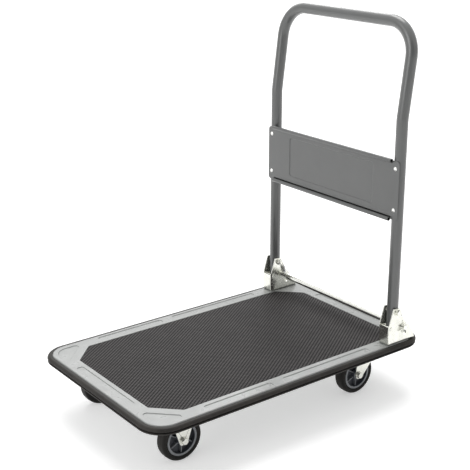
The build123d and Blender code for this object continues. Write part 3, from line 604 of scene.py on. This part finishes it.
# ---------------------------------------------------------------- handle
TUBE_RADIUS = 13.0
TUBE_WALL = 1.5
LEAN_Z = 641.0                  # where the legs start to lean back
LEAN_BEND = 60.0
TOP_BEND = 70.0
PANEL_SHEET = 1.2
PANEL_EDGE = 0.35
PANEL_CORNER = 8.0
TAB_INSET = 4.0
EMBOSS_HALF_Y = 141.0
EMBOSS_HALF_Z = 47.0
EMBOSS_RAISE = 3.0
EMBOSS_CORNER = 7.0
EMBOSS_DEPTH = 1.5
EMBOSS_WALL = 2.2
CURL_RADIUS = 4.5
CURL_HALF = 199.0
CURL_TURN = 325
CURL_FOOT = 6.0


def make_handle_tube():
    """One bent tube: two legs that lean back above the panel, and the top bar."""
    base = low("handle_tube")
    peak = high("handle_tube")
    leg_x = base.x + TUBE_RADIUS
    leg_y = peak.y - TUBE_RADIUS
    top_x = peak.x - TUBE_RADIUS
    top_z = peak.z - TUBE_RADIUS
    corners = [
        (leg_x, -leg_y, base.z), (leg_x, -leg_y, LEAN_Z), (top_x, -leg_y, top_z),
        (top_x, leg_y, top_z), (leg_x, leg_y, LEAN_Z), (leg_x, leg_y, base.z),
    ]
    path = filleted_path(corners, [LEAN_BEND, TOP_BEND, TOP_BEND, LEAN_BEND], 3.0)
    form = Form()
    across = Vector((1, 0, 0))
    outer = [form.ring(row) for row in tube_rows(path, TUBE_RADIUS, 40, across)]
    inner = [form.ring(row) for row in tube_rows(path, TUBE_RADIUS - TUBE_WALL, 40, across)]
    for rings in (outer, inner):
        form.bands(rings)
    form.band(outer[0], inner[0])
    form.band(outer[-1], inner[-1])
    form.finish("handle_pipe", "handle", ["handle_tube"], [HANDLE_PAINT], weighted=False)


def upright(outline, x):
    """Points of a (y, z) outline in the plane at x."""
    return [(x, y, z) for y, z in outline]


def make_panel():
    """Panel between the legs: an embossed field, corners with tabs, and a curled edge above and below."""
    base = low("handle_panel")
    peak = high("handle_panel")
    back = peak.x - 1.5
    front = back - PANEL_SHEET
    tab_low = base.z + TAB_INSET
    tab_high = peak.z - TAB_INSET
    centre_z = (base.z + peak.z) / 2
    corners = rectangle(peak.y, (tab_high - tab_low) / 2, (0.0, centre_z))
    radii = [PANEL_CORNER] * 4
    field = rectangle(EMBOSS_HALF_Y, EMBOSS_HALF_Z, (0.0, centre_z + EMBOSS_RAISE))
    form = Form()
    edge = [(-PANEL_EDGE, front), (0.0, front + PANEL_EDGE), (0.0, back - PANEL_EDGE), (-PANEL_EDGE, back)]
    rim = [form.ring(upright(rounded_outline(corners, radii, grow, 8), x)) for grow, x in edge]
    form.bands(rim)
    for x, outer in ((front, rim[0]), (back, rim[-1])):
        steps = 10
        rings = []
        for i in range(steps + 1):
            share = i / steps
            depth = EMBOSS_DEPTH * (1 - math.cos(math.pi * share)) / 2
            outline = rounded_outline(field, [EMBOSS_CORNER] * 4, EMBOSS_WALL * (0.5 - share), 8)
            rings.append(form.ring(upright(outline, x + depth)))
        form.bands(rings)
        form.cap(rings[-1])
        form.fill(outer, rings[0])
    # curled edges: a strip that leaves the sheet and rolls forwards into an open bead
    for way, edge_z in ((-1, base.z), (1, peak.z)):
        centre = (back - CURL_RADIUS, edge_z - way * CURL_RADIUS)
        outside = arc(centre, CURL_RADIUS, 0, way * CURL_TURN, 26)
        inside = arc(centre, CURL_RADIUS - PANEL_SHEET, way * CURL_TURN, 0, 26)
        foot_z = centre[1] - way * CURL_FOOT
        section = outside + inside + [(front, foot_z), (back, foot_z)]
        rows = [[(x, y, z) for x, z in section] for y in (-CURL_HALF, CURL_HALF)]
        rings = [form.ring(row) for row in rows]
        form.band(rings[0], rings[1])
        for ring in rings:
            form.fill(ring)
    form.finish("handle_plate", "handle", ["handle_panel"], [HANDLE_PAINT])


RIVET_HEAD = 4.8
RIVET_RISE = 2.4
RIVET_SHANK = 2.0


def make_rivets():
    """Domed rivets that hold the panel on the legs."""
    form = Form()
    leg_y = high("handle_tube").y - TUBE_RADIUS
    head_x = low("panel_rivets").x
    seat_x = head_x + RIVET_RISE
    lowest = low("panel_rivets").z + RIVET_HEAD
    highest = high("panel_rivets").z - RIVET_HEAD
    dome = (RIVET_HEAD**2 + RIVET_RISE**2) / (2 * RIVET_RISE)
    spread = math.degrees(math.asin(RIVET_HEAD / dome))
    foot = RIVET_RISE - 4.0
    profile = [(foot, 0.05), (foot, RIVET_SHANK), (0.05, RIVET_SHANK), (0.0, RIVET_HEAD - 0.25)]
    profile += [(x - (dome - RIVET_RISE), r) for x, r in arc((0, 0), dome, spread * 0.97, 1.0, 8)]
    for side in SIDES.values():
        for z in (lowest, highest):
            form.lathe((seat_x, side * leg_y, z), (-1, 0, 0), profile, 28, closed=False)
    form.finish("rivet_heads", "handle", ["panel_rivets"], [RIVET_ZINC])


# ---------------------------------------------------------------- fasteners
M8_FLATS = 13.0
M8_RADIUS = 4.0
M8_PITCH = 1.25
M8_HEAD = 5.3
M8_NUT = 6.5
NUT_COLLAR = 1.6
HEX_POINTS = 72                 # points round a hexagon
WASHER = 1.5                    # thickness of every washer
THREAD = 9.0
BRACKET_BOLT_XS = (278.0, 330.0)
PIVOT_BOLT = 43.0
AXLE_BOLT = 46.5
AXLE_THREAD = 10.0
FORK_HALF = 18.0                # from the wheel's middle to a cheek's outer face
FORK_PLATE = 2.5
PLATE_HOLE_X = 37.0
PLATE_HOLE_Y = 26.0


def hexagon_rows(start, axis, layers, turn=0.0):
    """Rows of points round an axis: each layer is (distance, limit), a hexagon cut down to a circle."""
    axis, across, other = frame_of(axis)
    rows = []
    for along, limit in layers:
        row = []
        for i in range(HEX_POINTS):
            angle = 2 * math.pi * i / HEX_POINTS
            to_flat = (angle + math.pi / 6) % (math.pi / 3) - math.pi / 6
            radius = min(M8_FLATS / 2 / math.cos(to_flat), limit)
            spun = angle + turn
            out = across * math.cos(spun) + other * math.sin(spun)
            row.append(Vector(start) + axis * along + out * radius)
        rows.append(row)
    return rows


def hex_head(form, start, axis, turn=0.0):
    """Bolt head with a washer face below and a chamfered, slightly dished crown."""
    round_face = M8_FLATS / 2 - 0.15
    corner = M8_FLATS
    layers = [(0.0, round_face), (0.35, round_face), (0.35, corner), (M8_HEAD - 1.0, corner)]
    layers += [(M8_HEAD - 0.5, round_face + 0.5), (M8_HEAD, round_face - 0.35)]
    rows = hexagon_rows(start, axis, layers, turn)
    axis, across, other = frame_of(axis)
    for along, radius in ((M8_HEAD, 5.2), (M8_HEAD - 0.35, 4.6)):
        row = []
        for i in range(HEX_POINTS):
            angle = 2 * math.pi * i / HEX_POINTS + turn
            out = across * math.cos(angle) + other * math.sin(angle)
            row.append(Vector(start) + axis * along + out * radius)
        rows.append(row)
    form.loft(rows)


def hex_nut(form, start, axis, height=M8_NUT, collar=NUT_COLLAR, turn=0.0):
    """Locking nut: chamfered hexagon with a round collar, and a bore."""
    round_face = M8_FLATS / 2 - 0.2
    corner = M8_FLATS
    body = height - collar
    layers = [(0.0, round_face), (0.6, round_face + 0.7), (0.7, corner), (body - 0.7, corner)]
    layers += [(body - 0.4, round_face + 0.5), (body, round_face)]
    if collar:
        layers += [(body, round_face - 0.6), (height - 0.6, round_face - 0.6), (height, round_face - 1.3)]
    layers += [(height, M8_RADIUS + 0.3), (0.0, M8_RADIUS + 0.3)]
    form.loft(hexagon_rows(start, axis, layers, turn), wrap=True)


def washer(form, start, axis, outer, inner, thick=WASHER):
    """Flat washer with its edges broken."""
    edge = 0.25
    profile = [
        (0.0, inner), (0.0, outer - edge), (edge, outer),
        (thick - edge, outer), (thick, outer - edge), (thick, inner),
    ]
    form.lathe(start, axis, profile, 48)


def shank(form, start, axis, length, thread=0.0):
    """Bolt shank whose last stretch is threaded."""
    axis, across, other = frame_of(axis)
    sides = 28
    depth = 0.6
    plain = length - thread
    stations = [0.0, plain]
    turns = int(thread / M8_PITCH * 6)
    stations += [plain + thread * (i + 1) / turns for i in range(turns)] if turns else []
    rows = []
    for along in stations:
        row = []
        for i in range(sides):
            share = i / sides
            angle = 2 * math.pi * share
            radius = M8_RADIUS
            if along > plain:
                phase = ((along - plain) / M8_PITCH - share) % 1.0
                radius -= depth * (1 - abs(2 * phase - 1))
                radius = min(radius, M8_RADIUS - 0.8 + max(length - along, 0.0))
            out = across * math.cos(angle) + other * math.sin(angle)
            row.append(Vector(start) + axis * along + out * radius)
        rows.append(row)
    form.loft(rows)


def make_bracket_fasteners():
    """Bolts through the bracket feet, with washers and nuts under the deck."""
    bolts = Form()
    nuts = Form()
    leg_y = high("handle_tube").y - TUBE_RADIUS
    foot_top = high("bracket_bolts").z - M8_HEAD
    under = high("bracket_nuts").z
    length = foot_top - low("bracket_bolts").z
    for side in SIDES.values():
        for count, x in enumerate(BRACKET_BOLT_XS):
            y = side * leg_y
            hex_head(bolts, (x, y, foot_top), (0, 0, 1), 0.3 * count + 0.2)
            shank(bolts, (x, y, foot_top), (0, 0, -1), length, THREAD)
            washer(nuts, (x, y, under), (0, 0, -1), 8.0, 4.3)
            hex_nut(nuts, (x, y, under - WASHER), (0, 0, -1), turn=0.4 * count)
    bolts.finish("bracket_screws", "deck", ["bracket_bolts"], [ZINC])
    nuts.finish("bracket_lock_nuts", "deck", ["bracket_nuts"], [ZINC])


def make_pivot_fasteners():
    """Handle pivot bolts, heads outside, and their nuts inside."""
    bolts = Form()
    nuts = Form()
    spot = middle("pivot_bolts")
    outer = high("pivot_bolts").y - M8_HEAD
    inner_face = low("bracket_right").y
    for side in SIDES.values():
        washer(bolts, (spot.x, side * (outer - WASHER), spot.z), (0, side, 0), 9.0, 4.2)
        hex_head(bolts, (spot.x, side * outer, spot.z), (0, side, 0), 0.25)
        shank(bolts, (spot.x, side * outer, spot.z), (0, -side, 0), PIVOT_BOLT, THREAD)
        washer(nuts, (spot.x, side * inner_face, spot.z), (0, -side, 0), 8.0, 4.3)
        hex_nut(nuts, (spot.x, side * (inner_face - WASHER), spot.z), (0, -side, 0))
    bolts.finish("pivot_screws", "deck", ["pivot_bolts"], [ZINC])
    nuts.finish("pivot_lock_nuts", "deck", ["pivot_nuts"], [ZINC])


def make_caster_fasteners():
    """Sixteen bolts from below through the caster plates, with plain nuts in the channels."""
    bolts = Form()
    nuts = Form()
    under = high("fixed_fork_left").z - FORK_PLATE
    channel = low("caster_nuts").z
    length = high("caster_bolts").z - under
    for plate in ("fixed_fork_left", "fixed_fork_right", "swivel_plate_left", "swivel_plate_right"):
        centre = middle(plate)
        for way_x in (-1, 1):
            for way_y in (-1, 1):
                x = centre.x + way_x * PLATE_HOLE_X
                y = centre.y + way_y * PLATE_HOLE_Y
                turn = 0.35 * way_x + 0.2 * way_y
                hex_head(bolts, (x, y, under), (0, 0, -1), turn)
                shank(bolts, (x, y, under), (0, 0, 1), length, THREAD)
                hex_nut(nuts, (x, y, channel), (0, 0, 1), collar=0.0, turn=turn)
    bolts.finish("caster_screws", "deck", ["caster_bolts"], [ZINC])
    nuts.finish("caster_plain_nuts", "deck", ["caster_nuts"], [ZINC])


def axle_hardware(bolts, nuts, wheel, side):
    """Axle bolt, its washer and its locking nut at one wheel."""
    centre = middle(wheel)
    start = centre.y + side * (FORK_HALF + WASHER)
    washer(bolts, (centre.x, centre.y + side * FORK_HALF, centre.z), (0, side, 0), 8.2, 4.2)
    hex_head(bolts, (centre.x, start, centre.z), (0, side, 0), 0.5)
    shank(bolts, (centre.x, start, centre.z), (0, -side, 0), AXLE_BOLT, AXLE_THREAD)
    hex_nut(nuts, (centre.x, centre.y - side * FORK_HALF, centre.z), (0, -side, 0))


def make_axle_hardware():
    """Axle hardware of the front pair, and of each swivel caster."""
    bolts = Form()
    nuts = Form()
    for name, side in SIDES.items():
        axle_hardware(bolts, nuts, f"tyre_front_{name}", side)
    bolts.finish("front_axle_screws", "deck", ["front_axle_bolts"], [ZINC])
    nuts.finish("front_axle_lock_nuts", "deck", ["front_axle_nuts"], [ZINC])
    for name, side in SIDES.items():
        bolts = Form()
        nuts = Form()
        axle_hardware(bolts, nuts, f"tyre_rear_{name}", side)
        body = f"swivel_{name}"
        bolts.finish(f"rear_axle_screw_{name}", body, [f"rear_axle_bolt_{name}"], [ZINC])
        nuts.finish(f"rear_axle_lock_nut_{name}", body, [f"rear_axle_nut_{name}"], [ZINC])


# ---------------------------------------------------------------- lock bar
ROD_RADIUS = 5.0
PIN_WIRE = 0.9
PIN_WAY = Vector((0.66, 0.0, 0.75)).normalized()
PIN_SPREAD = math.radians(32)
SPRING_Y = 187.5
SPRING_ANCHOR = (298.5, 194.0)  # x and z of the hole in the bracket
SPRING_WIRE = 0.6
SPRING_COIL = 2.6
SPRING_TURNS = 13


def make_split_pins():
    """Split pins: an eye, a double shank through the rod, and two legs bent apart."""
    form = Form()
    rod = middle("lock_rod")
    outer = high("rod_washers").y + 3.5
    aside = Vector((0, 1, 0)).cross(PIN_WAY)
    reach = ROD_RADIUS + 1.2
    for side in SIDES.values():
        centre = Vector((rod.x, side * outer, rod.z))
        eye = centre - PIN_WAY * (reach + 3.4)
        for leg in (-1, 1):
            half = Vector((0, leg * 0.55, 0))
            spread = PIN_WAY * math.cos(PIN_SPREAD) + aside * leg * math.sin(PIN_SPREAD)
            corners = [
                eye - PIN_WAY * 2.2,
                eye + Vector((0, leg * 2.2, 0)) - PIN_WAY * 1.2,
                eye + Vector((0, leg * 2.0, 0)) + PIN_WAY * 1.6,
                centre - PIN_WAY * reach + half,
                centre + PIN_WAY * reach + half,
                centre + PIN_WAY * reach + half + spread * (9.0 if leg > 0 else 7.5),
            ]
            path = filleted_path(corners, [0.8, 1.0, 1.2, 1.6], 20.0)
            form.loft(tube_rows(path, PIN_WIRE, 12))
    form.finish("cotter_pins", "lock_bar", ["rod_split_pins"], [ZINC], weighted=False)


def make_rod_washers():
    """Washers between the split pins and the brackets."""
    form = Form()
    rod = middle("lock_rod")
    outer = high("rod_washers").y
    for side in SIDES.values():
        start = (rod.x, side * (outer - WASHER), rod.z)
        washer(form, start, (0, side, 0), 8.8, ROD_RADIUS + 0.15)
    form.finish("rod_flat_washers", "lock_bar", ["rod_washers"], [ZINC])


def make_lock_springs():
    """Wound tension springs between the brackets and the rod."""
    rod = middle("lock_rod")
    for name, side in SIDES.items():
        node = f"lock_spring_{name}"
        y = side * SPRING_Y
        loop = Vector((rod.x, y, rod.z))
        anchor = Vector((SPRING_ANCHOR[0], y, SPRING_ANCHOR[1]))
        pull = (anchor - loop).normalized()
        across = Vector((0, 1, 0))
        aside = pull.cross(across)
        start = loop + pull * 9.0
        end = anchor - pull * 3.4
        path = []
        for i in range(25):
            turn = math.radians(90 - 360 * i / 26)
            path.append(loop + (aside * math.cos(turn) + pull * math.sin(turn)) * (ROD_RADIUS + 0.9))
        path.reverse()
        steps = SPRING_TURNS * 14
        for i in range(steps + 1):
            share = i / steps
            turn = 2 * math.pi * SPRING_TURNS * share
            out = (across * math.cos(turn) + aside * math.sin(turn)) * SPRING_COIL
            path.append(start.lerp(end, share) + out)
        path.append(anchor - pull * 1.2 + across * 0.4 * side)
        path.append(anchor + across * side * 1.5)
        path.append(anchor + across * side * 6.0)
        form = Form()
        form.loft(tube_rows(path, SPRING_WIRE, 8))
        steel = [SPRING_STEEL]
        made = form.finish(f"return_spring_{name}", None, [node], steel, weighted=False)
        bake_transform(made)


# ---------------------------------------------------------------- wheels
WHEEL_RADIUS = 48.0
TYRE_SEAT = 36.0
TYRE_HALF = 13.5
RIM_HALF = 12.5
RIM_LIP = 30.5
BOSS_RADIUS = 11.0
BOSS_HALF = 14.5
HUB_BORE = 6.06
WEB_HALF = 2.0
RIB_TOP = 9.0
RIB_COUNT = 6


def make_tyre(end, name, body):
    """Solid tyre: slightly crowned tread, round shoulders, a step on each sidewall and a mould line."""
    form = Form()
    centre = middle(f"tyre_{end}_{name}")
    shoulder = 6.0
    half = [(0.0, WHEEL_RADIUS), (0.25, WHEEL_RADIUS), (0.5, WHEEL_RADIUS - 0.22), (5.0, WHEEL_RADIUS - 0.3)]
    half += arc((TYRE_HALF - shoulder, WHEEL_RADIUS - 0.45 - shoulder), shoulder, 80, 4, 9)
    half += [(TYRE_HALF, 40.2), (TYRE_HALF - 0.1, 39.7), (TYRE_HALF - 0.9, 39.2), (TYRE_HALF - 0.9, 37.0)]
    half += [(TYRE_HALF - 1.1, TYRE_SEAT + 0.25), (TYRE_HALF - 1.6, TYRE_SEAT)]
    profile = [(-along, radius) for along, radius in reversed(half)] + half[1:]
    form.lathe(centre, (0, 1, 0), profile, 96)
    form.finish(f"solid_tyre_{end}_{name}", body, [f"tyre_{end}_{name}"], [TYRE_RUBBER])


def make_hub(end, name, body):
    """Moulded wheel centre: rim, web, boss and tapered ribs on both sides."""
    form = Form()
    centre = middle(f"hub_{end}_{name}")
    half = [(WEB_HALF, RIM_LIP - 2.0), (WEB_HALF + 0.6, RIM_LIP - 0.5), (WEB_HALF + 2.0, RIM_LIP)]
    half += [(RIM_HALF - 0.5, RIM_LIP + 0.5), (RIM_HALF, RIM_LIP + 1.0), (RIM_HALF, TYRE_SEAT - 0.7)]
    half += [(RIM_HALF - 0.7, TYRE_SEAT)]
    boss = [(BOSS_HALF, HUB_BORE + 0.5), (BOSS_HALF, BOSS_RADIUS - 0.8), (BOSS_HALF - 0.8, BOSS_RADIUS)]
    boss += [(WEB_HALF + 1.5, BOSS_RADIUS + 0.6), (WEB_HALF, BOSS_RADIUS + 2.2)]
    outer = boss + half
    inner = [(-along, radius) for along, radius in reversed(outer)]
    bore = [(-BOSS_HALF + 0.5, HUB_BORE), (BOSS_HALF - 0.5, HUB_BORE)]
    # the wells between boss and rim take a darker copy of the hub plastic: painted shade for their depth
    dark = [0] * 2 + [1] * 6 + [0] * 3
    shades = dark + [0] + dark[::-1] + [0] * 3
    form.lathe(centre, (0, 1, 0), outer + inner + bore, 72, materials=shades)
    for i in range(RIB_COUNT):
        turn = math.radians(30 + 360 * i / RIB_COUNT)
        out = Vector((math.cos(turn), 0, math.sin(turn)))
        beside = Vector((-math.sin(turn), 0, math.cos(turn)))
        for way in (-1, 1):
            rows = []
            for reach, top in ((BOSS_RADIUS - 1.0, RIB_TOP + 1.0), (RIM_LIP + 1.2, RIB_TOP - 1.0)):
                section = [(-1.5, WEB_HALF - 0.5), (-1.05, top - 0.4), (-0.7, top)]
                section += [(0.7, top), (1.05, top - 0.4), (1.5, WEB_HALF - 0.5)]
                base = centre + out * reach
                rows.append([base + beside * a + Vector((0, way * b, 0)) for a, b in section])
            form.loft(rows)
    # the second slot is the painted shade of the wells
    plastic_and_painted_shade = [HUB_PLASTIC, HUB_PAINTED_WELL_SHADE]
    form.finish(f"wheel_centre_{end}_{name}", body, [f"hub_{end}_{name}"], plastic_and_painted_shade)


# ---------------------------------------------------------------- CAD nodes that keep their shape
BROKEN_EDGE = {
    "bracket_left": 0.5, "bracket_right": 0.5,
    "fixed_fork_left": 0.5, "fixed_fork_right": 0.5,
    "swivel_fork_left": 0.5, "swivel_fork_right": 0.5,
    "cross_member_front": 0.4, "cross_member_middle": 0.4, "cross_member_rear": 0.4,
    "swivel_plate_left": 0.4, "swivel_plate_right": 0.4,
    "stop_pins": 0.5, "foot_tube": 0.5,
}
FINISH_OF = {"foot_tube": FOOT_ZINC, "lock_rod": FOOT_ZINC}


def dress(node, slot):
    """Gives a CAD node its material, joins its faces, and breaks its sharp edges where they are listed."""
    made = frame["nodes"][node]
    made.data.materials.clear()
    made.data.materials.append(FINISH_OF.get(node, SLOT_MATERIALS[slot]))
    weld = made.modifiers.new("weld", "WELD")
    weld.merge_threshold = 0.00002
    if node in BROKEN_EDGE:
        bevel = made.modifiers.new("broken_edges", "BEVEL")
        bevel.width = BROKEN_EDGE[node] * MM
        bevel.segments = 2
        bevel.limit_method = "ANGLE"
        bevel.angle_limit = math.radians(40)
        bevel.harden_normals = False
    normals = made.modifiers.new("weighted_normals", "WEIGHTED_NORMAL")
    normals.keep_sharp = True


# ---------------------------------------------------------------- build
make_deck()
make_mat()
make_bumper()
make_handle_tube()
make_panel()
make_rivets()
make_bracket_fasteners()
make_pivot_fasteners()
make_caster_fasteners()
make_axle_hardware()
make_split_pins()
make_rod_washers()
make_lock_springs()
for side_name in SIDES:
    make_tyre("front", side_name, f"wheel_front_{side_name}")
    make_hub("front", side_name, f"wheel_front_{side_name}")
    make_tyre("rear", side_name, f"wheel_rear_{side_name}")
    make_hub("rear", side_name, f"wheel_rear_{side_name}")
for subpart in frame["record"]["subparts"]:
    if not frame["nodes"][subpart["node"]].hide_render:
        dress(subpart["node"], subpart["material_slot"])

# ---------------------------------------------------------------- studio
CAMERA_PLACE = Vector((-1323.78, -1724.05, 1128.92)) * MM
CAMERA_AHEAD = Vector((0.5761, 0.7508, -0.3233))
CAMERA_LENS = 80.36
WORLD_DIFFUSE = 0.55
WORLD_GLOSSY = 1.3
SKY_ENDS = ((0.0, 0.70), (0.75, 1.0))       # height and grey level
SKY_BETWEEN = ((0.12, 0.55), (0.30, 0.85))
DARK_SIDE = (0.55, 0.90, 1.0, 0.12)         # dot product from and to, then strength from and to
FLOOR_HALF = 30.0


def add_camera():
    """Camera at the viewing angle, on the left and in front of the cart."""
    data = bpy.data.cameras.new("camera")
    data.lens = CAMERA_LENS
    data.sensor_width = 36.0
    data.clip_end = 200.0
    made = bpy.data.objects.new("camera", data)
    bpy.context.scene.collection.objects.link(made)
    made.location = CAMERA_PLACE
    made.rotation_euler = CAMERA_AHEAD.to_track_quat("-Z", "Y").to_euler()
    bpy.context.scene.camera = made


def add_sun(name, aim, strength, spread, colour=(1.0, 1.0, 1.0)):
    """Even light from one direction, softened over an angle in degrees."""
    data = bpy.data.lights.new(name, "SUN")
    data.energy = strength
    data.angle = math.radians(spread)
    data.color = colour
    made = bpy.data.objects.new(name, data)
    bpy.context.scene.collection.objects.link(made)
    made.rotation_euler = Vector(aim).to_track_quat("-Z", "Y").to_euler()


def add_panel_light(name, place, target, size, power):
    """Soft box that lights the cart and shows in its bright metal."""
    data = bpy.data.lights.new(name, "AREA")
    data.shape = "RECTANGLE"
    data.size = size[0]
    data.size_y = size[1]
    data.energy = power
    made = bpy.data.objects.new(name, data)
    bpy.context.scene.collection.objects.link(made)
    made.location = place
    made.rotation_euler = (Vector(target) - Vector(place)).to_track_quat("-Z", "Y").to_euler()


def add_world():
    """Pale studio with a darker side behind the camera, so that bright metal has something dark to show."""
    world = bpy.data.worlds.new("studio")
    world.use_nodes = True
    bpy.context.scene.world = world
    nodes = world.node_tree.nodes
    links = world.node_tree.links
    coordinates = nodes.new("ShaderNodeTexCoord")
    axes = nodes.new("ShaderNodeSeparateXYZ")
    ramp = nodes.new("ShaderNodeValToRGB")
    links.new(coordinates.outputs["Generated"], axes.inputs[0])
    links.new(axes.outputs["Z"], ramp.inputs["Fac"])
    stops = ramp.color_ramp.elements
    for stop, (height, level) in zip(stops, SKY_ENDS):
        stop.position = height
        stop.color = grey(level)
    for height, level in SKY_BETWEEN:
        stops.new(height).color = grey(level)
    facing = nodes.new("ShaderNodeVectorMath")
    facing.operation = "DOT_PRODUCT"
    facing.inputs[1].default_value = -Vector((CAMERA_AHEAD.x, CAMERA_AHEAD.y, 0.0)).normalized()
    links.new(coordinates.outputs["Generated"], facing.inputs[0])
    dark_side = nodes.new("ShaderNodeMapRange")
    for socket, value in enumerate(DARK_SIDE, start=1):
        dark_side.inputs[socket].default_value = value
    links.new(facing.outputs["Value"], dark_side.inputs[0])
    rays = nodes.new("ShaderNodeLightPath")
    strength = nodes.new("ShaderNodeMapRange")
    strength.inputs[3].default_value = WORLD_DIFFUSE
    strength.inputs[4].default_value = WORLD_GLOSSY
    links.new(rays.outputs["Is Glossy Ray"], strength.inputs[0])
    total = nodes.new("ShaderNodeMath")
    total.operation = "MULTIPLY"
    links.new(dark_side.outputs[0], total.inputs[0])
    links.new(strength.outputs[0], total.inputs[1])
    links.new(ramp.outputs["Color"], nodes["Background"].inputs["Color"])
    links.new(total.outputs[0], nodes["Background"].inputs["Strength"])


def add_floor():
    """Plain pale floor that reaches the horizon."""
    mesh = bpy.data.meshes.new("floor")
    corners = [(x, y, 0) for x, y in rectangle(FLOOR_HALF, FLOOR_HALF)]
    mesh.from_pydata(corners, [], [(0, 1, 2, 3)])
    mesh.materials.append(studio_floor("floor_paint"))
    made = bpy.data.objects.new("floor", mesh)
    bpy.context.scene.collection.objects.link(made)


bpy.context.scene.view_settings.view_transform = "Standard"
add_camera()
add_world()
add_floor()
add_sun("key", (-0.25, -0.42, -1.0), 1.7, 40.0)
add_sun("fill", (1.0, 0.05, -0.30), 0.90, 40.0)
add_panel_light("back_box", (1.9, 3.1, 2.5), (-0.35, -0.15, 0.13), (2.2, 1.3), 28.0)
add_panel_light("left_box", (-2.2, 0.6, 2.6), (0.1, 0.0, 0.3), (1.6, 1.6), 6.0)
